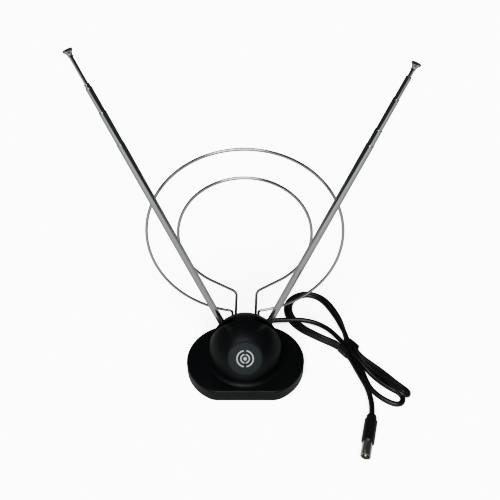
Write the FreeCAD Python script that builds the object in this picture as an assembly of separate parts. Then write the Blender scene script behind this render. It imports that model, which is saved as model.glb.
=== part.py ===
import FreeCAD, Part
import math
import os

# Indoor television antenna: two telescopic rods and two wire loops on a weighted base.
# Millimetres. The origin is the centre of the base on the table, X to the right,
# Y to the back, Z up. Rods and loops stand in two planes of constant Y.

# ---------------------------------------------------------------- driving dimensions
# base housing
BASE_HALF_DEPTH = 48.0
BASE_END_R = 52.0
BASE_END_X = 14.0
BASE_CORNER_R = 20.0
BASE_UNDERSIDE_Z = 1.5
BASE_TOP_Z = 15.0
RIM_ROUND = 2.0
WALL = 2.0
PLATE_GAP = 0.1
DOME_R = 40.0
DOME_Z = 29.0
DOME_FOOT_FILLET = 4.0
CAVITY_FOOT_Z = 21.0

# label disc on the front of the dome
DISC_R = 17.4
DISC_TILT = 31.0
DISC_SEAT = 35.4
DISC_THICKNESS = 1.2
DISC_BEVEL = 0.4

# slots for the rods
ROD_PLANE_Y = 9.5
SLOT_WIDTH = 10.0
SLOT_INNER_X = 10.0
SLOT_BOTTOM_Z = 33.0

# rods
PIVOT_X = 17.5
PIVOT_Z = 38.0
LEAN_LEFT = 20.6
LEAN_RIGHT = 21.2
PIVOT_PIN_R = 1.5
RUNNING_FIT = 0.05
TONGUE_THICKNESS = 4.0
TONGUE_R = 4.5
ROD_FOOT = 8.0
OUTER_TUBE_TOP = 247.0
SPIGOT_LENGTH = 8.0
SECTION_OD = [7.0, 6.3, 5.4, 4.5, 3.0]
TUBE_WALL = 0.25
SECTION_NAMES = ["outer_tube", "second_tube", "third_tube", "fourth_tube", "tip_rod"]
BUSH_NAMES = ["second_bush", "third_bush", "fourth_bush", "tip_bush"]
BUSH_COLLAR = 4.0
BUSH_SPIGOT = 4.0
BUSH_STEP = 1.0
LIP_SHOWING = 1.5
CAP_R = 3.9
CAP_NECK_R = 1.9
CAP_HEIGHT = 6.0
PULLED_OUT_LEFT = [28.1, 19.5, 1.5, 20.3]
PULLED_OUT_RIGHT = [13.0, 26.2, 17.3, 3.7]

# wire loops
WIRE_R = 1.3
LOOP_PLANE_Y = 27.0
OUTER_LOOP_R = 98.0
OUTER_LOOP_Z = 158.0
OUTER_FOOT_X = 14.6
OUTER_FOOT_BEND = 3.0
INNER_LOOP_R = 66.5
INNER_LOOP_Z = 161.0
INNER_CORNER_LEFT = (9.35, 88.8)
INNER_CORNER_RIGHT = (12.2, 89.6)
INNER_BEND = 9.0
INNER_ENTRY = (11.3, 54.0)
INNER_FOOT_BEND = 20.0
LOOP_FOOT_Z = 28.6

# carrier that holds pivots and loop terminals inside the dome
CARRIER_Z = 24.0
CARRIER_THICKNESS = 3.0
CARRIER_POST_X = 27.0

# circuit board
BOARD_Z = 16.0
BOARD_THICKNESS = 1.6
BOARD_POSTS = [(-18.0, -10.0), (18.0, -10.0), (-18.0, 12.0), (18.0, 12.0)]

# fasteners and feet
HOUSING_SCREWS = [(sx * 48.0, sy * 22.0) for sx in (-1, 1) for sy in (-1, 1)]
FEET = [(sx * 38.0, sy * 31.0) for sx in (-1, 1) for sy in (-1, 1)]
FOOT_R = 6.0
FOOT_RECESS = 0.5

# cable
CABLE_R = 2.75
GLAND_X = 1.0
GLAND_Z = 8.25
GLAND_HEADING = 45.0
GLAND_OUT = 10.0
CABLE_JOIN = -1.0
CLAMP_INSIDE = -12.6
TIE_CENTRE = (120.5, 21.5)
TIE_HEADING = -54.0
WAIST_LENGTH = 20.0
WAIST_WIDTH = 20.0
WAIST_HEIGHT = 11.0
TIE_WALL = 0.8
TIE_LENGTH = 13.0
HANK_BAND = 12.6
HANK_HEIGHT = 5.6
LOWER_STRAND_Z = 3.6
UPPER_STRAND_Z = 9.0
LEAD_ACROSS = -0.8
TAIL_ACROSS = -7.0
LEAD_ROUTE = [(17.0, 63.0, 8.4), (50.0, 66.5, 8.7), (76.0, 66.0, 8.8), (100.0, 51.0, 8.9)]
LEFT_LOBE = [
    (118, 24), (119, 58), (112.5, 86), (104, 104), (91.5, 119), (77, 120),
    (63, 110), (55.5, 94), (57, 75), (67, 59.5), (82, 45.5), (97, 35.5),
]
RIGHT_OUTLINE = [
    (126, 34), (140, 10), (151.5, -1.8), (161.6, -12.9), (171.2, -25.6), (177.3, -34.9),
    (179.2, -42), (171, -48.5), (169, -55), (160, -57.5), (151.5, -54), (143.5, -48.6),
    (137.4, -41.5), (133, -33.3), (128.5, -20.9), (123, 2), (114, 18),
]
RIGHT_OPENING = [
    (135.5, -15), (143.5, -25.5), (150.3, -32.1), (158.1, -38.2), (164.8, -43), (163.8, -50.5),
    (160, -51.7), (154.7, -49.4), (147.6, -44.7), (142.2, -38.7), (138.2, -31.3),
]
TAIL_ROUTE = [
    (123.6, -4.5, 5.6), (128.0, -25.0, 8.3), (133.0, -42.0, 6.4), (132.6, -58.0, 5.3),
]
PLUG_START = (130.0, -71.0)
PLUG_END = (115.0, -116.0)
PLUG_BODY_R = 6.25
PLUG_SLEEVE_R = 4.76
PLUG_SLEEVE_WALL = 0.5
PLUG_SLEEVE_OUT = 15.0
PLUG_PIN_R = 1.19

BUILT = {}


# ---------------------------------------------------------------- helpers
def vec(x, y, z=0.0):
    return FreeCAD.Vector(x, y, z)


def line(a, b):
    return Part.LineSegment(a, b).toShape()


def arc(a, middle, b):
    return Part.Arc(a, middle, b).toShape()


def box(x0, x1, y0, y1, z0, z1):
    return Part.makeBox(x1 - x0, y1 - y0, z1 - z0, vec(x0, y0, z0))


def rod(radius, start, direction, length):
    return Part.makeCylinder(radius, length, vec(*start), vec(*direction))


def upright(radius, x, y, z0, z1):
    return rod(radius, (x, y, z0), (0, 0, 1), z1 - z0)


def turned(profile):
    """Solid of revolution about Z from (radius, z) points, straight between them."""
    points = [vec(r, 0, z) for r, z in profile]
    wire = Part.makePolygon(points + points[:1])
    return Part.Face(wire).revolve(vec(0, 0), vec(0, 0, 1), 360)


def tube(outer_r, inner_r, z0, z1):
    return turned([(inner_r, z0), (outer_r, z0), (outer_r, z1), (inner_r, z1)])


def fused(shapes):
    whole = shapes[0]
    for shape in shapes[1:]:
        whole = whole.fuse(shape)
    return whole.removeSplitter()


def minus(shape, tools):
    for tool in tools:
        shape = shape.cut(tool)
    return shape


def placed(shape, heading, x, y, z=0.0):
    """Turn a shape about Z by a heading in degrees and move it."""
    moved = shape.copy()
    moved.rotate(vec(0, 0), vec(0, 0, 1), heading)
    moved.translate(vec(x, y, z))
    return moved


def save(name, shape):
    solids = shape.Solids
    result = solids[0] if len(solids) == 1 else Part.makeCompound(solids)
    for solid in solids:
        if not solid.isValid() or solid.Volume <= 0:
            print("check", name, "has a bad solid")
    result.exportStep("parts/" + name + ".step")
    BUILT[name] = result


def corner_arc(before, corner, after, radius):
    """Arc of a radius that rounds a corner, as its start, middle and end points."""
    back = (before - corner).normalize()
    ahead = (after - corner).normalize()
    half = 0.5 * back.getAngle(ahead)
    reach = radius / math.tan(half)
    inward = (back + ahead).normalize()
    middle = corner + inward * (radius / math.sin(half) - radius)
    return corner + back * reach, middle, corner + ahead * reach


def rounded_path(points, radii):
    """Straight runs joined by tangent arcs; one radius for each inner point."""
    edges = []
    at = points[0]
    for i, radius in enumerate(radii):
        start, middle, end = corner_arc(points[i], points[i + 1], points[i + 2], radius)
        edges.append(line(at, start))
        edges.append(arc(start, middle, end))
        at = end
    edges.append(line(at, points[-1]))
    return Part.Wire(edges)


def cord_radii(points):
    """Largest even radius at each inner point: 0.45 of the shorter run over tan(half turn)."""
    radii = []
    for before, corner, after in zip(points, points[1:], points[2:]):
        run = min((corner - before).Length, (after - corner).Length)
        turn = (corner - before).getAngle(after - corner)
        radii.append(0.45 * run / math.tan(turn / 2))
    return radii


def swept(path, radius):
    """Round bar along a path of lines and arcs."""
    start = path.Edges[0].valueAt(path.Edges[0].FirstParameter)
    direction = path.Edges[0].tangentAt(path.Edges[0].FirstParameter)
    ring = Part.Wire([Part.makeCircle(radius, start, direction)])
    return path.makePipeShell([ring], True, True)


def closed_path(points):
    """Closed flat path with a tangent arc at every corner."""
    count = len(points)
    corners = [vec(*p) for p in points]
    arcs = []
    for i, corner in enumerate(corners):
        before, after = corners[i - 1], corners[(i + 1) % count]
        run = min((corner - before).Length, (after - corner).Length)
        turn = (corner - before).getAngle(after - corner)
        arcs.append(corner_arc(before, corner, after, 0.45 * run / math.tan(turn / 2)))
    edges = []
    for this, following in zip(arcs, arcs[1:] + arcs[:1]):
        edges.append(arc(*this))
        edges.append(line(this[2], following[0]))
    return Part.Wire(edges)


def screw(x, y, z_under_head, length, shank_r, head_r, head_height):
    """Pan head screw pointing down, with a cross slot in its head."""
    head = turned([(0, 0), (head_r, 0), (head_r, head_height * 0.5),
                   (head_r * 0.7, head_height), (0, head_height)])
    slot = head_r * 0.9
    cross = [box(-slot, slot, -0.3, 0.3, head_height * 0.5, head_height + 1),
             box(-0.3, 0.3, -slot, slot, head_height * 0.5, head_height + 1)]
    shank = turned([(0, -length), (shank_r * 0.5, -length), (shank_r, -length + 1),
                    (shank_r, 0), (0, 0)])
    whole = minus(fused([head, shank]), cross)
    whole.translate(vec(x, y, z_under_head))
    return whole


# ---------------------------------------------------------------- base housing
def base_outline(inset, z):
    """Plan outline of the base, moved inwards by inset: two round ends, flat front and back."""
    depth = BASE_HALF_DEPTH - inset
    end_r = BASE_END_R - inset
    blend_y = BASE_HALF_DEPTH - BASE_CORNER_R
    reach = BASE_END_R - BASE_CORNER_R
    blend_x = BASE_END_X + math.sqrt(reach ** 2 - blend_y ** 2)
    slope = math.atan2(blend_y, blend_x - BASE_END_X)
    corner_r = BASE_CORNER_R - inset
    mean = 0.5 * (slope + math.pi / 2)
    on_end = (BASE_END_X + end_r * math.cos(slope), end_r * math.sin(slope))
    on_blend = (blend_x + corner_r * math.cos(mean), blend_y + corner_r * math.sin(mean))

    def at(point, sx, sy):
        return vec(sx * point[0], sy * point[1], z)

    edges = []
    for sx in (-1, 1):
        edges.append(arc(at(on_end, sx, -1), vec(sx * (BASE_END_X + end_r), 0, z), at(on_end, sx, 1)))
        for sy in (-1, 1):
            edges.append(arc(at(on_end, sx, sy), at(on_blend, sx, sy), at((blend_x, depth), sx, sy)))
    for sy in (-1, 1):
        edges.append(line(at((blend_x, depth), -1, sy), at((blend_x, depth), 1, sy)))
    return Part.Wire(Part.__sortEdges__(edges))


def base_prism(inset, z0, z1):
    return Part.Face(base_outline(inset, z0)).extrude(vec(0, 0, z1 - z0))


def dome_solid():
    """Ball that blends into the top of the base with a hollow fillet."""
    centre = vec(0, 0, DOME_Z)
    fillet_z = BASE_TOP_Z + DOME_FOOT_FILLET
    reach = DOME_R + DOME_FOOT_FILLET
    fillet_x = math.sqrt(reach ** 2 - (DOME_Z - fillet_z) ** 2)
    fillet_centre = vec(fillet_x, 0, fillet_z)
    toward_dome = (centre - fillet_centre).normalize()
    on_dome = fillet_centre + toward_dome * DOME_FOOT_FILLET
    middle = (toward_dome + vec(0, 0, -1)).normalize()
    on_plate = vec(fillet_x, 0, BASE_TOP_Z)
    edges = [
        line(vec(0, 0, BASE_TOP_Z - WALL), vec(0, 0, DOME_Z + DOME_R)),
        arc(vec(0, 0, DOME_Z + DOME_R), centre + vec(1, 0, 0) * DOME_R, on_dome),
        arc(on_dome, fillet_centre + middle * DOME_FOOT_FILLET, on_plate),
        line(on_plate, vec(fillet_x, 0, BASE_TOP_Z - WALL)),
        line(vec(fillet_x, 0, BASE_TOP_Z - WALL), vec(0, 0, BASE_TOP_Z - WALL)),
    ]
    return Part.Face(Part.Wire(edges)).revolve(vec(0, 0), vec(0, 0, 1), 360)


def disc_frame(shape):
    """Move a shape built on Z = 0 onto the dome's label axis, measured from the dome's centre."""
    shape.rotate(vec(0, 0), vec(1, 0, 0), 90.0 - DISC_TILT)
    shape.translate(vec(0, 0, DOME_Z))
    return shape


def dome_cavity():
    inner_r = DOME_R - WALL
    ball = Part.makeSphere(inner_r, vec(0, 0, DOME_Z))
    ball = ball.cut(box(-60, 60, -60, 60, -20, CAVITY_FOOT_Z))
    behind_disc = disc_frame(box(-60, 60, -60, 60, DISC_SEAT - WALL, 60))
    foot_r = math.sqrt(inner_r ** 2 - (DOME_Z - CAVITY_FOOT_Z) ** 2)
    return ball.cut(behind_disc).fuse(upright(foot_r, 0, 0, 0, CAVITY_FOOT_Z))


def rod_slot(side):
    """Slot over one shoulder of the dome, with rounded ends."""
    far, top = 60.0, 90.0
    half = SLOT_WIDTH / 2
    y0, y1 = ROD_PLANE_Y - half, ROD_PLANE_Y + half
    cutter = box(SLOT_INNER_X, far, y0, y1, SLOT_BOTTOM_Z, top)
    ends = []
    for edge in cutter.Edges:
        middle = edge.valueAt(0.5 * (edge.FirstParameter + edge.LastParameter))
        at_inner = abs(middle.x - SLOT_INNER_X) < 0.01 and abs(middle.z - SLOT_BOTTOM_Z) > 1
        at_bottom = abs(middle.z - SLOT_BOTTOM_Z) < 0.01 and middle.x > SLOT_INNER_X + 1
        if (at_inner or at_bottom) and abs(middle.y - ROD_PLANE_Y) > 1:
            ends.append(edge)
    cutter = cutter.makeFillet(half - 0.2, ends)
    if side < 0:
        cutter = cutter.mirror(vec(0, 0), vec(1, 0, 0))
    return cutter


def gland_direction():
    return (math.cos(math.radians(GLAND_HEADING)), math.sin(math.radians(GLAND_HEADING)), 0.0)


def gland_point(distance):
    """Point on the cable's axis, a distance outside the back wall."""
    dx, dy, _ = gland_direction()
    return (GLAND_X + dx * distance, BASE_HALF_DEPTH - 1.0 + dy * distance, GLAND_Z)


def upper_housing():
    skirt = base_prism(0.0, BASE_UNDERSIDE_Z, BASE_TOP_Z)
    rim = [e for e in skirt.Edges if e.BoundBox.ZMin > BASE_TOP_Z - 0.01]
    skirt = skirt.makeFillet(RIM_ROUND, rim)
    shell = skirt.fuse(dome_solid())
    facet = disc_frame(box(-60, 60, -60, 60, DISC_SEAT, 60))
    shell = shell.cut(facet.common(disc_frame(upright(22.0, 0, 0, 0, 60))))
    shell = shell.cut(base_prism(WALL + 0.2, 0, BASE_TOP_Z - WALL))
    shell = shell.cut(dome_cavity())
    shell = minus(shell, [rod_slot(-1), rod_slot(1)])
    for side in (-1, 1):
        inner, outer = INNER_ENTRY[0] - 0.5, OUTER_FOOT_X
        hole_r = WIRE_R + 0.25
        for x in (inner, outer):
            shell = shell.cut(upright(hole_r, side * x, LOOP_PLANE_Y, 45, 70))
        low, high = sorted((side * inner, side * outer))
        shell = shell.cut(box(low, high, LOOP_PLANE_Y - hole_r, LOOP_PLANE_Y + hole_r, 45, 70))
    bosses = []
    for x, y in HOUSING_SCREWS:
        boss = upright(3.5, x, y, BASE_UNDERSIDE_Z + WALL + 0.1, BASE_TOP_Z - WALL + 0.5)
        bosses.append(boss.cut(upright(1.2, x, y, 0, BASE_TOP_Z - 4)))
    shell = fused([shell] + bosses)
    bore = rod(4.4, gland_point(-8), gland_direction(), 20)
    return shell.cut(bore)


def base_plate():
    z0, z1 = BASE_UNDERSIDE_Z, BASE_UNDERSIDE_Z + WALL
    plate = base_prism(WALL + 0.2 + PLATE_GAP, z0, z1)
    posts = [upright(3.0, x, y, z0, BOARD_Z) for x, y in BOARD_POSTS]
    for side in (-1, 1):
        posts.append(upright(3.5, side * CARRIER_POST_X, ROD_PLANE_Y, z0, CARRIER_Z))
    plate = fused([plate] + posts)
    holes = [upright(1.1, x, y, BOARD_Z - 8, BOARD_Z + 1) for x, y in BOARD_POSTS]
    for side in (-1, 1):
        holes.append(upright(1.3, side * CARRIER_POST_X, ROD_PLANE_Y, CARRIER_Z - 10, CARRIER_Z + 1))
    for x, y in FEET:
        holes.append(upright(FOOT_R + 0.1, x, y, 0, z0 + FOOT_RECESS))
    for x, y in HOUSING_SCREWS:
        sink = turned([(0, z0 - 1), (3.1, z0 - 1), (3.1, z0), (1.6, z0 + 1.7), (1.6, 9), (0, 9)])
        sink.translate(vec(x, y, 0))
        holes.append(sink)
    for x, y in ballast_screw_places():
        holes.append(upright(1.35, x, y, 0, z1 + 1))
    for x, y, _ in clamp_screw_places():
        holes.append(upright(1.35, x, y, 0, z1 + 1))
    return minus(plate, holes)


def ballast_screw_places():
    return [(-34.0, -4.0), (34.0, -4.0)]


def ballast_plate():
    """Steel weight on the base plate, clear of the posts that pass through it."""
    z0 = BASE_UNDERSIDE_Z + WALL
    plate = box(-41, 41, -36, 27, z0, z0 + 5)
    upright_edges = [e for e in plate.Edges if e.BoundBox.ZLength > 4]
    plate = plate.makeFillet(8.0, upright_edges)
    holes = [upright(3.4, x, y, 0, 20) for x, y in BOARD_POSTS]
    for side in (-1, 1):
        holes.append(upright(3.9, side * CARRIER_POST_X, ROD_PLANE_Y, 0, 20))
    for x, y in ballast_screw_places():
        holes.append(upright(1.6, x, y, 0, 20))
    return minus(plate, holes)


def housing_screw(x, y):
    """Countersunk screw from below, with a cross slot."""
    z = BASE_UNDERSIDE_Z
    body = turned([(0, z), (3.0, z), (1.1, z + 1.8), (1.1, z + 7.5), (0.4, z + 8.5), (0, z + 8.5)])
    cross = [box(-1.7, 1.7, -0.3, 0.3, z - 1, z + 0.8), box(-0.3, 0.3, -1.7, 1.7, z - 1, z + 0.8)]
    body = minus(body, cross)
    body.translate(vec(x, y, 0))
    return body


def rubber_foot(x, y):
    height = BASE_UNDERSIDE_Z + FOOT_RECESS
    foot = turned([(0, 0), (FOOT_R - 0.6, 0), (FOOT_R, 0.6), (FOOT_R, height), (0, height)])
    foot.translate(vec(x, y, 0))
    return foot


def label_disc():
    face = DISC_SEAT + DISC_THICKNESS
    disc = turned([(0, DISC_SEAT), (DISC_R, DISC_SEAT), (DISC_R, face - DISC_BEVEL),
                   (DISC_R - DISC_BEVEL, face), (0, face)])
    return disc_frame(disc)


# ---------------------------------------------------------------- inside the base
def circuit_board():
    board = box(-22, 22, -14, 21, BOARD_Z, BOARD_Z + BOARD_THICKNESS)
    return minus(board, [upright(1.3, x, y, BOARD_Z - 1, BOARD_Z + 3) for x, y in BOARD_POSTS])


def balun_core():
    """Ferrite core with two bores."""
    top = BOARD_Z + BOARD_THICKNESS
    core = box(-3.5, 3.5, -10, -2, top, top + 7)
    for side in (-1, 1):
        core = core.fuse(rod(3.5, (side * 3.5, -10, top + 3.5), (0, 1, 0), 8))
    core = core.removeSplitter()
    bores = [rod(1.8, (side * 3.5, -11, top + 3.5), (0, 1, 0), 10) for side in (-1, 1)]
    return minus(core, bores)


def balun_winding():
    """Three turns of enamelled wire round the web between the bores."""
    middle = BOARD_Z + BOARD_THICKNESS + 3.5
    turns = []
    for step in (-1, 0, 1):
        z = middle + step * 0.8
        outer = box(-3.8, 3.8, -11.2, -0.8, z - 0.3, z + 0.3)
        turns.append(outer.cut(box(-3.2, 3.2, -10.6, -1.4, z - 1, z + 1)))
    return Part.makeCompound(turns)


def board_capacitor(x, y):
    """Disc capacitor on two legs."""
    top = BOARD_Z + BOARD_THICKNESS
    disc = rod(2.0, (x, y - 0.8, top + 3.2), (0, 1, 0), 1.6)
    legs = [upright(0.3, x + dx, y, top, top + 3) for dx in (-1.2, 1.2)]
    return fused([disc] + legs)


def pivot_carrier():
    """Moulded bridge on two posts: rod brackets on its wings, loop terminals behind."""
    z0, z1 = CARRIER_Z, CARRIER_Z + CARRIER_THICKNESS
    bridge = box(-31, 31, 0, 19, z0, z1).fuse(box(-19, 19, 18, 31, z0, z1)).removeSplitter()
    corners = [e for e in bridge.Edges if e.BoundBox.ZLength > 2]
    bridge = bridge.makeFillet(2.0, corners)
    holes = []
    for side in (-1, 1):
        holes.append(upright(1.6, side * CARRIER_POST_X, ROD_PLANE_Y, z0 - 1, z1 + 1))
        holes.append(upright(1.5, side * PIVOT_X, 16.6, z0 - 1, z1 + 1))
        holes.append(upright(1.5, side * 12.9, 22.0, z0 - 1, z1 + 1))
        for dx in (-3, 3):
            holes.append(upright(1.05, side * PIVOT_X + dx, ROD_PLANE_Y, z0 - 1, z1 + 1))
    return minus(bridge, holes)


def pivot_bracket(side):
    """Sheet brass fork with a solder tab; the rod's tongue turns between its ears."""
    x, z0 = side * PIVOT_X, CARRIER_Z + CARRIER_THICKNESS
    gap, thickness = TONGUE_THICKNESS / 2 + 0.3, 1.2
    base = box(x - 5, x + 5, ROD_PLANE_Y - gap - thickness, ROD_PLANE_Y + gap + thickness, z0, z0 + 1)
    ears = []
    for sign in (-1, 1):
        y0 = ROD_PLANE_Y + sign * gap
        low, high = sorted((y0, y0 + sign * thickness))
        ears.append(box(x - 5, x + 5, low, high, z0, PIVOT_Z))
        ears.append(rod(5.0, (x, low, PIVOT_Z), (0, 1, 0), thickness))
    tab = box(x - 2, x + 2, ROD_PLANE_Y + gap, 15.0, z0, z0 + 1)
    fork = fused([base, tab] + ears)
    holes = [rod(PIVOT_PIN_R + RUNNING_FIT, (x, 0, PIVOT_Z), (0, 1, 0), 20)]
    for dx in (-3, 3):
        holes.append(upright(1.05, x + dx, ROD_PLANE_Y, z0 - 1, z0 + 2))
    return minus(fork, holes)


def bracket_rivet(x):
    """Brass rivet through bracket and carrier."""
    low, high = CARRIER_Z, CARRIER_Z + CARRIER_THICKNESS + 1.0
    rivet = turned([(0, low - 0.8), (1.6, low - 0.8), (1.6, low), (1.0, low), (1.0, high),
                    (1.6, high), (1.2, high + 0.8), (0, high + 0.8)])
    rivet.translate(vec(x, ROD_PLANE_Y, 0))
    return rivet


def pivot_screw(side):
    """Screw through the fork and the tongue, head to the front."""
    stack = [(0, 0), (2.75, 0), (2.75, 1.3), (2.0, 2.0), (PIVOT_PIN_R, 2.0), (PIVOT_PIN_R, 13.2),
             (1.2, 13.8), (0, 13.8)]
    pin = turned(stack).cut(box(-3, 3, -0.4, 0.4, -1, 0.8))
    pin.rotate(vec(0, 0), vec(1, 0, 0), -90)
    pin.translate(vec(side * PIVOT_X, 4.0, PIVOT_Z))
    return pin


def spring_washer(side):
    """Split ring under the nut."""
    ring = rod(2.7, (0, 13.0, 0), (0, 1, 0), 0.9).cut(rod(1.6, (0, 12, 0), (0, 1, 0), 3))
    ring = ring.cut(box(0, 4, 12, 15, -0.3, 0.3))
    ring.translate(vec(side * PIVOT_X, 0, PIVOT_Z))
    return ring


def pivot_nut(side):
    """Hexagon nut behind the fork."""
    corner = 5.5 / 2 / math.cos(math.radians(30))
    angles = [math.radians(60 * i) for i in range(7)]
    points = [vec(corner * math.cos(a), 13.9, corner * math.sin(a)) for a in angles]
    nut = Part.Face(Part.makePolygon(points)).extrude(vec(0, 2.2, 0))
    nut = nut.cut(rod(PIVOT_PIN_R + RUNNING_FIT, (0, 13, 0), (0, 1, 0), 5))
    nut.translate(vec(side * PIVOT_X, 0, PIVOT_Z))
    return nut


def loop_terminal(side):
    """Brass block that takes both wires of one side, with a solder pin."""
    x, z0 = side * 12.9, CARRIER_Z + CARRIER_THICKNESS
    block = box(x - 4.4, x + 4.4, LOOP_PLANE_Y - 3.5, LOOP_PLANE_Y + 3.5, z0, z0 + 8)
    cuts = []
    for foot in (INNER_ENTRY[0], OUTER_FOOT_X):
        cuts.append(upright(WIRE_R + 0.1, side * foot, LOOP_PLANE_Y, z0 + 1, z0 + 10))
    cuts.append(rod(1.3, (x, LOOP_PLANE_Y + 1.6, z0 + 5), (0, 1, 0), 5))
    return minus(block, cuts)


def terminal_screw(side):
    """Clamp screw in the back of a terminal block."""
    body = turned([(0, 0), (1.25, 0), (1.25, 2.3), (2.2, 2.3), (2.2, 3.6), (0, 3.6)])
    body = body.cut(box(-3, 3, -0.25, 0.25, 3.0, 5))
    body.rotate(vec(0, 0), vec(1, 0, 0), -90)
    body.translate(vec(side * 12.9, LOOP_PLANE_Y + 1.65, CARRIER_Z + CARRIER_THICKNESS + 5))
    return body


def lead_wires():
    """Insulated wires from the forks and the loop terminals down to the board."""
    top = BOARD_Z + BOARD_THICKNESS
    z0 = CARRIER_Z + CARRIER_THICKNESS
    wires = []
    for side in (-1, 1):
        x = side * PIVOT_X
        rod_wire = [vec(x, 15.0, z0 + 0.6), vec(x, 16.6, z0 + 0.6), vec(x, 16.6, 20.5),
                    vec(side * 10, 15.0, 20.5), vec(side * 10, 15.0, top)]
        wires.append(swept(rounded_path(rod_wire, [0.7, 1.2, 1.2]), 0.5))
        x = side * 12.9
        loop_wire = [vec(x, LOOP_PLANE_Y - 3.5, z0 + 0.6), vec(x, 22.0, z0 + 0.6),
                     vec(x, 22.0, 21.5), vec(side * 6, 18.0, 21.5), vec(side * 6, 18.0, top)]
        wires.append(swept(rounded_path(loop_wire, [0.7, 1.2, 1.2]), 0.5))
    return Part.makeCompound(wires)


# ---------------------------------------------------------------- wire loops
def outer_loop():
    """Nearly full ring whose two ends turn down into the dome."""
    reach = OUTER_LOOP_R + OUTER_FOOT_BEND
    bend_x = OUTER_FOOT_X + OUTER_FOOT_BEND
    bend_z = OUTER_LOOP_Z - math.sqrt(reach ** 2 - bend_x ** 2)
    share = OUTER_LOOP_R / reach
    ring_x = bend_x * share
    ring_z = OUTER_LOOP_Z - (OUTER_LOOP_Z - bend_z) * share
    tilt = math.atan2(ring_z - bend_z, ring_x - bend_x)
    mean = 0.5 * (tilt + math.pi)
    mid_x = bend_x + OUTER_FOOT_BEND * math.cos(mean)
    mid_z = bend_z + OUTER_FOOT_BEND * math.sin(mean)
    y = LOOP_PLANE_Y

    def at(x, z):
        return vec(x, y, z)

    edges = [line(at(-OUTER_FOOT_X, LOOP_FOOT_Z), at(-OUTER_FOOT_X, bend_z)),
             arc(at(-OUTER_FOOT_X, bend_z), at(-mid_x, mid_z), at(-ring_x, ring_z)),
             arc(at(-ring_x, ring_z), at(0, OUTER_LOOP_Z + OUTER_LOOP_R), at(ring_x, ring_z)),
             arc(at(ring_x, ring_z), at(mid_x, mid_z), at(OUTER_FOOT_X, bend_z)),
             line(at(OUTER_FOOT_X, bend_z), at(OUTER_FOOT_X, LOOP_FOOT_Z))]
    return swept(Part.Wire(edges), WIRE_R)


def inner_loop():
    """Smaller ring; its ends come in straight, bend down and stand on the dome."""
    y = LOOP_PLANE_Y

    def half(side, corner):
        drop = INNER_LOOP_Z - corner[1]
        turn = math.atan2(corner[0], drop) + math.acos(INNER_LOOP_R / math.hypot(corner[0], drop))
        leave_x = INNER_LOOP_R * math.sin(turn)
        leave_z = INNER_LOOP_Z - INNER_LOOP_R * math.cos(turn)
        foot = vec(side * INNER_ENTRY[0], y, LOOP_FOOT_Z)
        entry = vec(side * INNER_ENTRY[0], y, INNER_ENTRY[1] - 6)
        return [foot, entry, vec(side * corner[0], y, corner[1]), vec(side * leave_x, y, leave_z)]

    left_half, right_half = half(-1, INNER_CORNER_LEFT), half(1, INNER_CORNER_RIGHT)
    left = rounded_path(left_half, [INNER_FOOT_BEND, INNER_BEND]).Edges
    right = rounded_path(right_half, [INNER_FOOT_BEND, INNER_BEND]).Edges
    top = arc(left_half[3], vec(0, y, INNER_LOOP_Z + INNER_LOOP_R), right_half[3])
    edges = left + [top] + list(reversed(right))
    return swept(Part.Wire(Part.__sortEdges__(edges)), WIRE_R)


# ---------------------------------------------------------------- telescopic rods
def section_lengths():
    """Length of each moving section, so that every foot stops above the one outside it."""
    step = BUSH_COLLAR + BUSH_SPIGOT + BUSH_STEP
    foot = ROD_FOOT + SPIGOT_LENGTH + BUSH_STEP + BUSH_COLLAR
    lengths = []
    for i in range(4):
        top = OUTER_TUBE_TOP + (i + 1) * LIP_SHOWING
        lengths.append(top - foot - i * step)
    return lengths


def rod_shapes(pulled_out):
    """Shapes of one rod, upright with its pivot at the origin, as (name, shape)."""
    shapes = [("knuckle", knuckle())]
    outer_r = SECTION_OD[0] / 2
    shapes.append((SECTION_NAMES[0], section_tube(outer_r, ROD_FOOT, OUTER_TUBE_TOP)))
    top = OUTER_TUBE_TOP
    bore_r = outer_r - TUBE_WALL
    for i, length in enumerate(section_lengths()):
        top += LIP_SHOWING + pulled_out[i]
        foot = top - length
        r = SECTION_OD[i + 1] / 2
        solid_rod = i == 3
        if solid_rod:
            section = turned([(0, foot), (r, foot), (r, top), (0, top)])
        else:
            section = section_tube(r, foot, top)
        shapes.append((SECTION_NAMES[i + 1], section))
        shapes.append((BUSH_NAMES[i], bush(bore_r, r, foot, solid_rod)))
        bore_r = r - TUBE_WALL
    shapes.append(("tip_cap", tip_cap(top)))
    return shapes


def section_tube(r, foot, top):
    """Thin tube whose top edge is rolled slightly inwards."""
    bore = r - TUBE_WALL
    return turned([(bore, foot), (r, foot), (r, top - 0.5), (r - 0.12, top), (bore - 0.03, top),
                   (bore - 0.03, top - 0.6), (bore, top - 0.9)])


def bush(bore_r, section_r, foot, solid_rod):
    """Friction bush on the foot of a section: a collar that slides, and its fixing."""
    collar_r = bore_r - RUNNING_FIT
    low = foot - BUSH_COLLAR
    if solid_rod:
        return turned([(0, low), (collar_r, low), (collar_r, foot), (0, foot)])
    spigot_r = section_r - TUBE_WALL - 0.02
    return turned([(0, low), (collar_r, low), (collar_r, foot), (spigot_r, foot),
                   (spigot_r, foot + BUSH_SPIGOT), (0, foot + BUSH_SPIGOT)])


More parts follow.
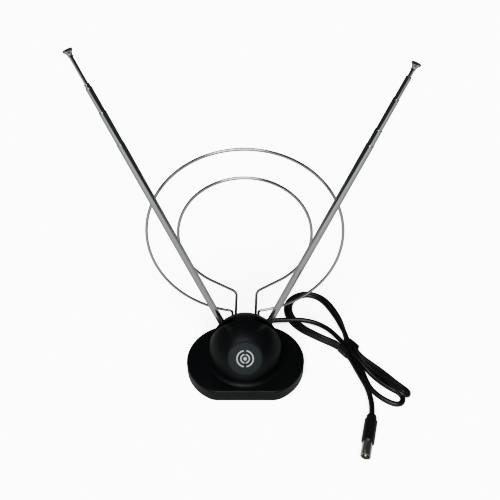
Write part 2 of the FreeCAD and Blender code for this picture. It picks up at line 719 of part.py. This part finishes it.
def knuckle():
    """Foot of a rod: flat tongue with the pivot bore, collar, and spigot into the outer tube."""
    half = TONGUE_THICKNESS / 2
    eye = rod(TONGUE_R, (0, -half, 0), (0, 1, 0), TONGUE_THICKNESS)
    neck = box(-2.6, 2.6, -half, half, 0, ROD_FOOT - 1.0)
    collar = upright(SECTION_OD[0] / 2, 0, 0, ROD_FOOT - 2.0, ROD_FOOT)
    bore_r = SECTION_OD[0] / 2 - TUBE_WALL
    spigot = upright(bore_r - 0.02, 0, 0, ROD_FOOT - 0.5, ROD_FOOT + SPIGOT_LENGTH)
    body = fused([eye, neck, collar, spigot])
    return body.cut(rod(PIVOT_PIN_R + RUNNING_FIT, (0, -5, 0), (0, 1, 0), 10))


def tip_cap(top):
    """Flared button on the end of the thinnest section."""
    z = top
    return turned([(0, z), (CAP_NECK_R, z), (CAP_NECK_R, z + 1.6), (CAP_NECK_R + 0.5, z + 3.0),
                   (CAP_R - 0.3, z + 4.4), (CAP_R, z + 4.9), (CAP_R, z + 5.5),
                   (CAP_R - 0.5, z + CAP_HEIGHT), (0, z + CAP_HEIGHT + 0.2)])


def build_rod(side_name, side, lean, pulled_out):
    for name, shape in rod_shapes(pulled_out):
        shape.rotate(vec(0, 0), vec(0, 1, 0), side * lean)
        shape.translate(vec(side * PIVOT_X, ROD_PLANE_Y, PIVOT_Z))
        save(side_name + "_" + name, shape)


# ---------------------------------------------------------------- cable
def cable_gland():
    """Rubber bush that leads the cable out through the back wall at a slant."""
    profile = [(CABLE_R, -4.5), (4.6, -4.5), (4.6, -3.4), (4.3, -3.4), (4.3, 3.6), (5.2, 3.6),
               (5.2, 5.2), (3.5, GLAND_OUT), (CABLE_R, GLAND_OUT)]
    gland = turned(profile)
    gland.rotate(vec(0, 0), vec(0, 1, 0), 90)
    return placed(gland, GLAND_HEADING, *gland_point(0))


def clamp_frame(shape):
    """Move a shape built about the cable's axis to the clamp's place inside the back wall."""
    x, y, _ = gland_point(CLAMP_INSIDE)
    return placed(shape, GLAND_HEADING, x, y)


def cable_clamp():
    """Saddle that holds the cable down on the base plate."""
    z0 = BASE_UNDERSIDE_Z + WALL
    saddle = box(-2.7, 2.7, -3.8, 3.8, z0, GLAND_Z + 3.8)
    ears = box(-2.7, 2.7, -8.0, 8.0, z0, z0 + 2.4)
    body = fused([saddle, ears]).cut(rod(CABLE_R + 0.05, (-5, 0, GLAND_Z), (1, 0, 0), 10))
    for side in (-1, 1):
        body = body.cut(upright(1.35, 0, side * 6.2, 0, 20))
    return clamp_frame(body)


def clamp_screw_places():
    heading = math.radians(GLAND_HEADING)
    x, y, _ = gland_point(CLAMP_INSIDE)
    z = BASE_UNDERSIDE_Z + WALL + 2.4
    places = []
    for side in (-1, 1):
        places.append((x - side * 6.2 * math.sin(heading), y + side * 6.2 * math.cos(heading), z))
    return places


def inner_cable():
    """Cable from the gland through the clamp and up to the back edge of the board."""
    board_top = BOARD_Z + BOARD_THICKNESS
    start = vec(*gland_point(CABLE_JOIN))
    level = board_top + CABLE_R + 0.05
    points = [start, vec(*gland_point(-21.2)), vec(-19.0, 26.5, level), vec(-19.0, 19.0, level)]
    return swept(rounded_path(points, [7.5, 7.5]), CABLE_R)


def hank_waist(extra, length):
    """Block round the bundle where the tie holds it, grown by extra on each side."""
    half = WAIST_WIDTH / 2 + extra
    block = box(-length / 2, length / 2, -half, half, TIE_WALL - extra, TIE_WALL + WAIST_HEIGHT + extra)
    long_edges = [e for e in block.Edges if e.BoundBox.XLength > length - 0.1]
    block = block.makeFillet(3.5 + extra, long_edges)
    return placed(block, TIE_HEADING, *TIE_CENTRE)


def lobe_band(points):
    """Flat band of strands along one closed lobe."""
    path = closed_path(points)
    outside = Part.Face(path.makeOffset2D(HANK_BAND / 2))
    inside = Part.Face(path.makeOffset2D(-HANK_BAND / 2))
    return outside.cut(inside).Faces[0].extrude(vec(0, 0, HANK_HEIGHT))


def outlined_lobe(outline, opening):
    """Flat layer of strands inside one outline, round one opening."""
    face = Part.Face(closed_path(outline)).cut(Part.Face(closed_path(opening)))
    return face.Faces[0].extrude(vec(0, 0, HANK_HEIGHT))


def cable_hank():
    lobes = fused([lobe_band(LEFT_LOBE), outlined_lobe(RIGHT_OUTLINE, RIGHT_OPENING)])
    lobes = lobes.cut(hank_waist(TIE_WALL + 0.05, TIE_LENGTH))
    return fused([lobes, hank_waist(0.0, WAIST_LENGTH)])


def cable_tie():
    return hank_waist(TIE_WALL, TIE_LENGTH).cut(hank_waist(0.05, TIE_LENGTH + 2))


def waist_end(sign, across, z):
    """Place on an end face of the waist where the lead or the tail leaves it."""
    heading = math.radians(TIE_HEADING)
    along = sign * WAIST_LENGTH / 2
    x = TIE_CENTRE[0] + along * math.cos(heading) - across * math.sin(heading)
    y = TIE_CENTRE[1] + along * math.sin(heading) + across * math.cos(heading)
    return vec(x, y, z)


def cord_tube(name, points):
    """Tube of the cable along a route; prints its bends and compares its volume."""
    radii = cord_radii(points)
    path = rounded_path(points, radii)
    solid = swept(path, CABLE_R)
    expected = math.pi * CABLE_R ** 2 * path.Length
    print(name, "length", round(path.Length, 1), "bend radii", [round(r, 1) for r in radii],
          "volume ratio", round(solid.Volume / expected, 4))
    save(name, solid)


def plug_frame(shape):
    """Lay a plug piece built along Z, cable end at 0, on the table."""
    dx, dy = PLUG_END[0] - PLUG_START[0], PLUG_END[1] - PLUG_START[1]
    shape.rotate(vec(0, 0), vec(0, 1, 0), 90)
    return placed(shape, math.degrees(math.atan2(dy, dx)), PLUG_START[0], PLUG_START[1], PLUG_BODY_R)


def plug_pieces():
    """Moulded body, slit outer sleeve, insulator and centre pin of the aerial plug."""
    body_end = math.dist(PLUG_START, PLUG_END) - PLUG_SLEEVE_OUT
    neck_r = PLUG_SLEEVE_R - 0.2
    seat_r = neck_r + 0.02
    body = turned([(CABLE_R, 0), (4.6, 0), (5.0, 1.5), (5.0, 5.0), (PLUG_BODY_R, 6.2),
                   (PLUG_BODY_R, body_end - 1.0), (PLUG_BODY_R - 0.8, body_end), (seat_r, body_end),
                   (seat_r, body_end - 6), (CABLE_R, body_end - 6)])
    sleeve_end = body_end + PLUG_SLEEVE_OUT
    bore = PLUG_SLEEVE_R - PLUG_SLEEVE_WALL
    sleeve = turned([(bore, body_end - 6), (neck_r, body_end - 6), (neck_r, body_end),
                     (PLUG_SLEEVE_R, body_end), (PLUG_SLEEVE_R, sleeve_end), (bore, sleeve_end)])
    slit = box(-0.35, 0.35, -9, 9, sleeve_end - 9, sleeve_end + 1)
    slit.rotate(vec(0, 0), vec(0, 0, 1), 45)
    sleeve = sleeve.cut(slit)
    pin_neck_r = PLUG_PIN_R - 0.19
    pin_foot = body_end + 4
    insulator = tube(bore - 0.02, pin_neck_r + 0.02, body_end - 6, pin_foot)
    pin = turned([(0, body_end - 6), (pin_neck_r, body_end - 6), (pin_neck_r, pin_foot),
                  (PLUG_PIN_R, pin_foot), (PLUG_PIN_R, sleeve_end - 1.2),
                  (PLUG_PIN_R * 0.5, sleeve_end - 0.2), (0, sleeve_end - 0.2)])
    return {"plug_body": body, "plug_sleeve": sleeve, "plug_insulator": insulator, "plug_pin": pin}


# ---------------------------------------------------------------- build
def build_base():
    save("upper_housing", upper_housing())
    save("base_plate", base_plate())
    save("ballast_plate", ballast_plate())
    save("rubber_feet", Part.makeCompound([rubber_foot(x, y) for x, y in FEET]))
    save("housing_screws", Part.makeCompound([housing_screw(x, y) for x, y in HOUSING_SCREWS]))
    ballast_top = BASE_UNDERSIDE_Z + WALL + 5
    save("ballast_screws", Part.makeCompound(
        [screw(x, y, ballast_top, 6.5, 1.3, 3.2, 1.8) for x, y in ballast_screw_places()]))
    save("label_disc", label_disc())
    save("circuit_board", circuit_board())
    board_top = BOARD_Z + BOARD_THICKNESS
    save("board_screws", Part.makeCompound(
        [screw(x, y, board_top, 6.0, 1.05, 2.1, 1.4) for x, y in BOARD_POSTS]))
    save("balun_core", balun_core())
    save("balun_winding", balun_winding())
    save("board_capacitors", Part.makeCompound(
        [board_capacitor(x, y) for x, y in ((-12, 4), (-4, 6), (12, 4))]))
    save("lead_wires", lead_wires())


def build_mounts_for_rods_and_loops():
    save("pivot_carrier", pivot_carrier())
    carrier_top = CARRIER_Z + CARRIER_THICKNESS
    save("carrier_screws", Part.makeCompound(
        [screw(side * CARRIER_POST_X, ROD_PLANE_Y, carrier_top, 10.0, 1.25, 2.6, 1.6)
         for side in (-1, 1)]))
    save("left_pivot_bracket", pivot_bracket(-1))
    save("right_pivot_bracket", pivot_bracket(1))
    save("bracket_rivets", Part.makeCompound(
        [bracket_rivet(side * PIVOT_X + dx) for side in (-1, 1) for dx in (-3, 3)]))
    for name, piece in (("pivot_screws", pivot_screw), ("spring_washers", spring_washer),
                        ("pivot_nuts", pivot_nut), ("loop_terminals", loop_terminal),
                        ("terminal_screws", terminal_screw)):
        save(name, Part.makeCompound([piece(side) for side in (-1, 1)]))
    save("outer_loop", outer_loop())
    save("inner_loop", inner_loop())


def build_cable():
    save("cable_gland", cable_gland())
    save("cable_clamp", cable_clamp())
    save("clamp_screws", Part.makeCompound(
        [screw(x, y, z, 4.0, 1.3, 2.2, 1.6) for x, y, z in clamp_screw_places()]))
    save("inner_cable", inner_cable())
    lead = [vec(*gland_point(CABLE_JOIN))] + [vec(*p) for p in LEAD_ROUTE]
    lead.append(waist_end(-1, LEAD_ACROSS, UPPER_STRAND_Z))
    cord_tube("cable_lead", lead)
    save("cable_hank", cable_hank())
    save("cable_tie", cable_tie())
    tail = [waist_end(1, TAIL_ACROSS, LOWER_STRAND_Z)] + [vec(*p) for p in TAIL_ROUTE]
    tail.append(vec(*PLUG_START, PLUG_BODY_R))
    cord_tube("cable_tail", tail)
    for name, shape in plug_pieces().items():
        save(name, plug_frame(shape))


def main():
    os.makedirs("parts", exist_ok=True)
    build_base()
    build_mounts_for_rods_and_loops()
    build_rod("left", -1, LEAN_LEFT, PULLED_OUT_LEFT)
    build_rod("right", 1, LEAN_RIGHT, PULLED_OUT_RIGHT)
    build_cable()
    whole = Part.makeCompound(list(BUILT.values())).BoundBox
    print(len(BUILT), "nodes; X", round(whole.XMin, 1), round(whole.XMax, 1),
          "Y", round(whole.YMin, 1), round(whole.YMax, 1), "Z", round(whole.ZMin, 2), round(whole.ZMax, 1))


main()
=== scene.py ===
import math

import bpy
from mathutils import Matrix, Vector


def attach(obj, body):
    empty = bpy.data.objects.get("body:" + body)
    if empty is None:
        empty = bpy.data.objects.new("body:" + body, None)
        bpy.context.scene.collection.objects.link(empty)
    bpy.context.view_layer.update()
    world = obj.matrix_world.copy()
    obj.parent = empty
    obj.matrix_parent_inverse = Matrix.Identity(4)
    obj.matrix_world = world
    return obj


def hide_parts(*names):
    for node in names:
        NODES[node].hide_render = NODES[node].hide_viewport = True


# Looks of an indoor television antenna: rods, wire loops, weighted base and its cable.
# Metres. X to the right, Y to the back, Z up; the table is at Z = 0.

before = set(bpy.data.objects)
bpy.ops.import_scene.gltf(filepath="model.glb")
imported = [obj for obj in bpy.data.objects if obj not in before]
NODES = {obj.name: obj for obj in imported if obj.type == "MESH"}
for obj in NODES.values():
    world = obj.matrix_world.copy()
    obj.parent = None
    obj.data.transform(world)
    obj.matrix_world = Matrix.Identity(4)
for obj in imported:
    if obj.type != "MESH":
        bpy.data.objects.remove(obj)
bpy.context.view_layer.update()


# ---------------------------------------------------------------- camera
LENS_MM = 36.0
SENSOR_MM = 36.0
CAMERA_PLACE = (0.0051, -0.384, 0.446)
CAMERA_TILT = math.radians(53.8)


def make_camera():
    data = bpy.data.cameras.new("camera")
    data.lens = LENS_MM
    data.sensor_width = SENSOR_MM
    camera = bpy.data.objects.new("camera", data)
    camera.location = CAMERA_PLACE
    camera.rotation_euler = (CAMERA_TILT, 0.0, 0.0)
    bpy.context.scene.collection.objects.link(camera)
    bpy.context.scene.camera = camera


make_camera()

# ---------------------------------------------------------------- cable
# The coaxial lead: out of the gland behind the base, through the tie, twice round each lobe of
# the hank and on to the plug. The number of turns is a reading of the hank's thickness.
CABLE_DIAMETER = 0.0055
# A curve's box grows by the radius of its points, so that is kept small and the bevel large.
POINT_RADIUS = 0.001
GLAND_MOUTH = (0.0010, 0.0470, 0.0083)
LEAD = [
    GLAND_MOUTH, (0.0080, 0.0540, 0.0083), (0.0175, 0.0625, 0.0084), (0.0330, 0.0658, 0.0085),
    (0.0500, 0.0665, 0.0087), (0.0640, 0.0668, 0.0088), (0.0760, 0.0652, 0.0088),
    (0.0885, 0.0603, 0.0088), (0.1000, 0.0510, 0.0089), (0.1073, 0.0410, 0.0090),
    (0.1140, 0.0291, 0.0090),
]
WIDE_LOOP = [
    (0.1240, 0.0116, 0.0090), (0.1295, 0.0015, 0.0086), (0.1356, -0.0085, 0.0062),
    (0.1417, -0.0169, 0.0036), (0.1507, -0.0272, 0.0029), (0.1590, -0.0346, 0.0029),
    (0.1658, -0.0393, 0.0029), (0.1690, -0.0460, 0.0029), (0.1658, -0.0532, 0.0029),
    (0.1585, -0.0546, 0.0029), (0.1495, -0.0496, 0.0029), (0.1418, -0.0422, 0.0029),
    (0.1360, -0.0335, 0.0029), (0.1333, -0.0220, 0.0029), (0.1315, -0.0080, 0.0029),
    (0.1288, 0.0040, 0.0032), (0.1260, 0.0131, 0.0036),
]
NARROW_LOOP = [
    (0.1313, 0.0169, 0.0036), (0.1368, 0.0084, 0.0030), (0.1441, 0.0006, 0.0029),
    (0.1515, -0.0076, 0.0029), (0.1587, -0.0164, 0.0029), (0.1655, -0.0255, 0.0029),
    (0.1718, -0.0325, 0.0029), (0.1762, -0.0388, 0.0036), (0.1738, -0.0448, 0.0056),
    (0.1672, -0.0454, 0.0078), (0.1627, -0.0379, 0.0086), (0.1575, -0.0295, 0.0074),
    (0.1520, -0.0200, 0.0047), (0.1452, -0.0104, 0.0038), (0.1375, -0.0010, 0.0042),
    (0.1288, 0.0152, 0.0090),
]
# The left lobe from its lower strand to its right-hand one: x, y of the middle between the
# two turns, half their spacing, and how far the inner turn lies above the outer one.
LEFT_LOBE = [
    (0.1089, 0.0256, 0.0000, 0.0054), (0.1016, 0.0316, 0.0000, 0.0055),
    (0.0910, 0.0380, 0.0000, 0.0055), (0.0804, 0.0455, 0.0002, 0.0055),
    (0.0695, 0.0540, 0.0010, 0.0048), (0.0605, 0.0660, 0.0024, 0.0026),
    (0.0552, 0.0780, 0.0026, 0.0019), (0.0534, 0.0913, 0.0026, 0.0019),
    (0.0569, 0.1058, 0.0027, 0.0016), (0.0672, 0.1164, 0.0028, 0.0012),
    (0.0808, 0.1209, 0.0028, 0.0012), (0.0941, 0.1166, 0.0028, 0.0012),
    (0.1041, 0.1058, 0.0028, 0.0012), (0.1112, 0.0892, 0.0027, 0.0018),
    (0.1162, 0.0725, 0.0024, 0.0030), (0.1187, 0.0560, 0.0016, 0.0046),
    (0.1206, 0.0440, 0.0006, 0.0053), (0.1202, 0.0337, 0.0000, 0.0054),
]
LYING_Z = 0.0029
TIED_Z = 0.0036
CABLE_JACKET_STEPS = 6
CABLE_LENGTH_STEPS = 12
TAIL = [
    (0.1207, 0.0093, 0.0036), (0.1236, -0.0045, 0.0056), (0.1257, -0.0155, 0.0074),
    (0.1284, -0.0265, 0.0084), (0.1316, -0.0365, 0.0076), (0.1332, -0.0465, 0.0056),
    (0.1328, -0.0590, 0.0053), (0.1300, -0.0710, 0.0063),
]


def left_turn(side):
    """One turn of the left lobe: side 1 is the outer, lower one and -1 the inner one."""
    points = []
    last = len(LEFT_LOBE) - 1
    for k, (x, y, half_spacing, lift) in enumerate(LEFT_LOBE):
        before = LEFT_LOBE[max(k - 1, 0)]
        after = LEFT_LOBE[min(k + 1, last)]
        along = Vector((after[0] - before[0], after[1] - before[1])).normalized()
        outwards = Vector((-along.y, along.x)) * half_spacing * side
        floor_z = TIED_Z if k in (0, last) else LYING_Z
        z = floor_z + (lift if side < 0 else 0.0)
        points.append((x + outwards.x, y + outwards.y, z))
    return points


def cable_route():
    route = LEAD + WIDE_LOOP + left_turn(1) + NARROW_LOOP
    route += list(reversed(left_turn(-1)))
    return route + TAIL


def make_cable():
    curve = bpy.data.curves.new("cable", "CURVE")
    curve.dimensions = "3D"
    spline = curve.splines.new("NURBS")
    route = cable_route()
    spline.points.add(len(route) - 1)
    for point, place in zip(spline.points, route):
        point.co = (*place, 1.0)
        point.radius = POINT_RADIUS
    spline.order_u = 3
    spline.use_endpoint_u = True
    spline.resolution_u = CABLE_LENGTH_STEPS
    curve.bevel_depth = CABLE_DIAMETER / 2 / POINT_RADIUS
    curve.bevel_resolution = CABLE_JACKET_STEPS
    curve.use_fill_caps = True
    cable = bpy.data.objects.new("cable", curve)
    bpy.context.scene.collection.objects.link(cable)
    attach(cable, "base")
    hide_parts("cable_lead", "cable_hank", "cable_tail")
    return cable


cable = make_cable()


# ---------------------------------------------------------------- node helpers
def add_node(tree, kind, **inputs):
    """New node; inputs are given by their socket names, with _ for a space."""
    node = tree.nodes.new(kind)
    for name, value in inputs.items():
        node.inputs[name.replace("_", " ")].default_value = value
    return node


def clear_tree(owner):
    owner.use_nodes = True
    owner.node_tree.nodes.clear()
    return owner.node_tree


# ---------------------------------------------------------------- finishes
class Finish:
    """Colour, metal, roughness and grain of one material slot."""

    def __init__(self, colour, roughness, metallic=0.0, grain=900.0, depth=0.02, spread=0.06,
                 gloss=0.5):
        self.colour = colour
        self.roughness = roughness
        self.metallic = metallic
        self.grain = grain
        self.depth = depth
        self.spread = spread
        self.gloss = gloss


BLACK = (0.0038, 0.0048, 0.0051)
# The usual reflectance of chromium.
CHROMIUM = (0.55, 0.556, 0.554)
CLOUD_SCALE = 60.0
CLOUD_DETAIL = 3.0
GRAIN_DETAIL = 2.0
GRAIN_HEIGHT = 0.0002
LOWEST_ROUGHNESS = 0.02
FINISHES = {
    "housing_black": Finish(BLACK, 0.42, grain=1400.0, depth=0.05, gloss=0.19),
    "plate_black": Finish((0.010, 0.010, 0.010), 0.55),
    "disc_black": Finish((0.0115, 0.0150, 0.0160), 0.40, depth=0.01, gloss=0.22),
    "ballast_steel": Finish((0.36, 0.36, 0.35), 0.45, 1.0, grain=300.0),
    "foot_rubber": Finish((0.012, 0.012, 0.012), 0.85, grain=2000.0, depth=0.1),
    "zinc_steel": Finish((0.62, 0.62, 0.58), 0.30, 1.0),
    "board_laminate": Finish((0.05, 0.17, 0.07), 0.40),
    "ferrite": Finish((0.03, 0.03, 0.032), 0.65, grain=2500.0, depth=0.1),
    "copper_wire": Finish((0.62, 0.24, 0.10), 0.25, 1.0),
    "capacitor_ceramic": Finish((0.60, 0.30, 0.07), 0.45),
    "wire_insulation": Finish((0.45, 0.03, 0.02), 0.40),
    "carrier_plastic": Finish((0.03, 0.03, 0.03), 0.50),
    "contact_brass": Finish((0.70, 0.50, 0.22), 0.30, 1.0),
    "loop_wire": Finish(CHROMIUM, 0.16, 1.0, grain=500.0, depth=0.01),
    "rod_chrome": Finish(CHROMIUM, 0.07, 1.0, grain=300.0, depth=0.004, spread=0.03),
    "bush_brass": Finish((0.70, 0.52, 0.24), 0.28, 1.0),
    "gland_rubber": Finish((0.004, 0.004, 0.004), 0.60, grain=2000.0, depth=0.08, gloss=0.3),
    "cable_jacket": Finish((0.0044, 0.0040, 0.0036), 0.36, grain=1500.0, depth=0.04, gloss=0.55),
    "tie_plastic": Finish((0.0044, 0.0041, 0.0038), 0.42, gloss=0.40),
    "plug_plastic": Finish((0.0042, 0.0042, 0.0042), 0.42, grain=1500.0, depth=0.05, gloss=0.45),
    "plug_nickel": Finish((0.66, 0.64, 0.60), 0.22, 1.0, grain=400.0),
    "insulator_white": Finish((0.70, 0.70, 0.66), 0.45),
    "mark_grey": Finish((0.88, 0.89, 0.90), 0.45),
}


def dress(material, finish):
    """Principled shader whose roughness wanders a little and whose surface has a fine grain."""
    tree = clear_tree(material)
    place = add_node(tree, "ShaderNodeTexCoord")
    cloud = add_node(tree, "ShaderNodeTexNoise", Scale=CLOUD_SCALE, Detail=CLOUD_DETAIL)
    wander = add_node(tree, "ShaderNodeMapRange", From_Min=0.3, From_Max=0.7)
    wander.inputs["To Min"].default_value = max(
        finish.roughness - finish.spread, LOWEST_ROUGHNESS)
    wander.inputs["To Max"].default_value = finish.roughness + finish.spread
    grain = add_node(tree, "ShaderNodeTexNoise", Scale=finish.grain, Detail=GRAIN_DETAIL)
    bump = add_node(tree, "ShaderNodeBump", Strength=finish.depth, Distance=GRAIN_HEIGHT)
    shader = add_node(tree, "ShaderNodeBsdfPrincipled", Metallic=finish.metallic)
    shader.inputs["Base Color"].default_value = (*finish.colour, 1.0)
    shader.inputs["Specular IOR Level"].default_value = finish.gloss
    output = add_node(tree, "ShaderNodeOutputMaterial")
    tree.links.new(place.outputs["Object"], cloud.inputs["Vector"])
    tree.links.new(place.outputs["Object"], grain.inputs["Vector"])
    tree.links.new(cloud.outputs["Fac"], wander.inputs["Value"])
    tree.links.new(wander.outputs["Result"], shader.inputs["Roughness"])
    tree.links.new(grain.outputs["Fac"], bump.inputs["Height"])
    tree.links.new(bump.outputs["Normal"], shader.inputs["Normal"])
    tree.links.new(shader.outputs["BSDF"], output.inputs["Surface"])


MATERIALS = {}
for node in NODES.values():
    for material_slot in node.material_slots:
        MATERIALS[material_slot.material.name.split(".")[0]] = material_slot.material
for slot_name, slot_finish in FINISHES.items():
    if slot_name not in MATERIALS:
        MATERIALS[slot_name] = bpy.data.materials.new(slot_name)
    dress(MATERIALS[slot_name], slot_finish)
cable.data.materials.append(MATERIALS["cable_jacket"])


# ---------------------------------------------------------------- mark on the disc
DOME_CENTRE = Vector((0.0, 0.0, 0.029))
DISC_FACE = 0.0366
DISC_TILT = math.radians(31.0)
MARK_THICKNESS = 0.00015
# A dot inside two rings, each open at the top and bottom.
MARK_RINGS = [0.0045, 0.0085]
RING_HALF_ANGLE = 80
RING_WIDTH = 0.0012
DOT_R = 0.0018
ARC_STEPS = 24


def add_plate(corners, faces, outline):
    """Add a thin plate with the given outline (x, y), counterclockwise, to a mesh in the making."""
    first = len(corners)
    count = len(outline)
    for z in (0.0, MARK_THICKNESS):
        corners.extend((x, y, z) for x, y in outline)
    faces.append([first + count + k for k in range(count)])
    faces.append([first + k for k in reversed(range(count))])
    for k in range(count):
        after = (k + 1) % count
        faces.append([first + k, first + after, first + count + after, first + count + k])


def arc_points(radius, start, stop, steps):
    turns = [math.radians(start + (stop - start) * k / steps) for k in range(steps + 1)]
    return [(radius * math.cos(turn), radius * math.sin(turn)) for turn in turns]


def make_mark():
    """Generic dot and rings, in place of the maker's lettering."""
    corners, faces = [], []
    for radius in MARK_RINGS:
        for middle in (0, 180):
            start, stop = middle - RING_HALF_ANGLE, middle + RING_HALF_ANGLE
            outside = arc_points(radius + RING_WIDTH / 2, start, stop, ARC_STEPS)
            inside = arc_points(radius - RING_WIDTH / 2, stop, start, ARC_STEPS)
            add_plate(corners, faces, outside + inside)
    add_plate(corners, faces, arc_points(DOT_R, 0, 345, 23))
    mesh = bpy.data.meshes.new("mark")
    mesh.from_pydata(corners, [], faces)
    mesh.materials.append(MATERIALS["mark_grey"])
    mark = bpy.data.objects.new("mark", mesh)
    bpy.context.scene.collection.objects.link(mark)
    outwards = Vector((0.0, -math.cos(DISC_TILT), math.sin(DISC_TILT)))
    up = Vector((0.0, math.sin(DISC_TILT), math.cos(DISC_TILT)))
    centre = DOME_CENTRE + outwards * DISC_FACE
    axes = Matrix((Vector((1, 0, 0)), up, outwards)).transposed()
    mark.matrix_world = Matrix.Translation(centre) @ axes.to_4x4()
    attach(mark, "base")


make_mark()


# ---------------------------------------------------------------- floor and light
PAPER = (0.80, 0.80, 0.78, 1.0)
FLOOR_REACH = 4.0
BACKDROP_STRENGTH = 12.0
ROOM_STRENGTH = 0.04


def floor_material():
    """Plain pale paper, the same all over."""
    material = bpy.data.materials.new("floor")
    tree = clear_tree(material)
    paper = add_node(tree, "ShaderNodeBsdfDiffuse", Color=PAPER)
    output = add_node(tree, "ShaderNodeOutputMaterial")
    tree.links.new(paper.outputs["BSDF"], output.inputs["Surface"])
    return material


def make_floor():
    mesh = bpy.data.meshes.new("floor")
    corners = [(-FLOOR_REACH, -FLOOR_REACH, 0), (FLOOR_REACH, -FLOOR_REACH, 0),
               (FLOOR_REACH, FLOOR_REACH, 0), (-FLOOR_REACH, FLOOR_REACH, 0)]
    mesh.from_pydata(corners, [], [(0, 1, 2, 3)])
    mesh.materials.append(floor_material())
    floor = bpy.data.objects.new("floor", mesh)
    floor.is_shadow_catcher = True
    bpy.context.scene.collection.objects.link(floor)


def make_area_light(name, place, aim, size, power, colour):
    data = bpy.data.lights.new(name, "AREA")
    data.shape = "RECTANGLE"
    data.size, data.size_y = size
    data.energy = power
    data.color = colour
    light = bpy.data.objects.new(name, data)
    light.location = place
    light.rotation_euler = (Vector(aim) - Vector(place)).to_track_quat("-Z", "Y").to_euler()
    bpy.context.scene.collection.objects.link(light)


def make_world():
    """White behind the object for the camera, a dim room for everything else."""
    world = bpy.data.worlds.new("world")
    bpy.context.scene.world = world
    tree = clear_tree(world)
    backdrop = add_node(
        tree, "ShaderNodeBackground", Color=(1.0, 1.0, 1.0, 1.0), Strength=BACKDROP_STRENGTH)
    room = add_node(
        tree, "ShaderNodeBackground", Color=(0.90, 0.95, 1.0, 1.0), Strength=ROOM_STRENGTH)
    path = add_node(tree, "ShaderNodeLightPath")
    mix = add_node(tree, "ShaderNodeMixShader")
    output = add_node(tree, "ShaderNodeOutputWorld")
    tree.links.new(path.outputs["Is Camera Ray"], mix.inputs["Fac"])
    tree.links.new(room.outputs["Background"], mix.inputs[1])
    tree.links.new(backdrop.outputs["Background"], mix.inputs[2])
    tree.links.new(mix.outputs["Shader"], output.inputs["Surface"])


make_world()
make_floor()
make_area_light("key", (-0.15, -0.75, 1.25), (0, 0, 0), (1.0, 0.6), 14.0, (1.0, 1.0, 1.0))
make_area_light("front", (-0.12, -1.1, 0.55), (0, 0, 0.03), (0.5, 0.35), 3.6, (0.80, 0.93, 1.0))
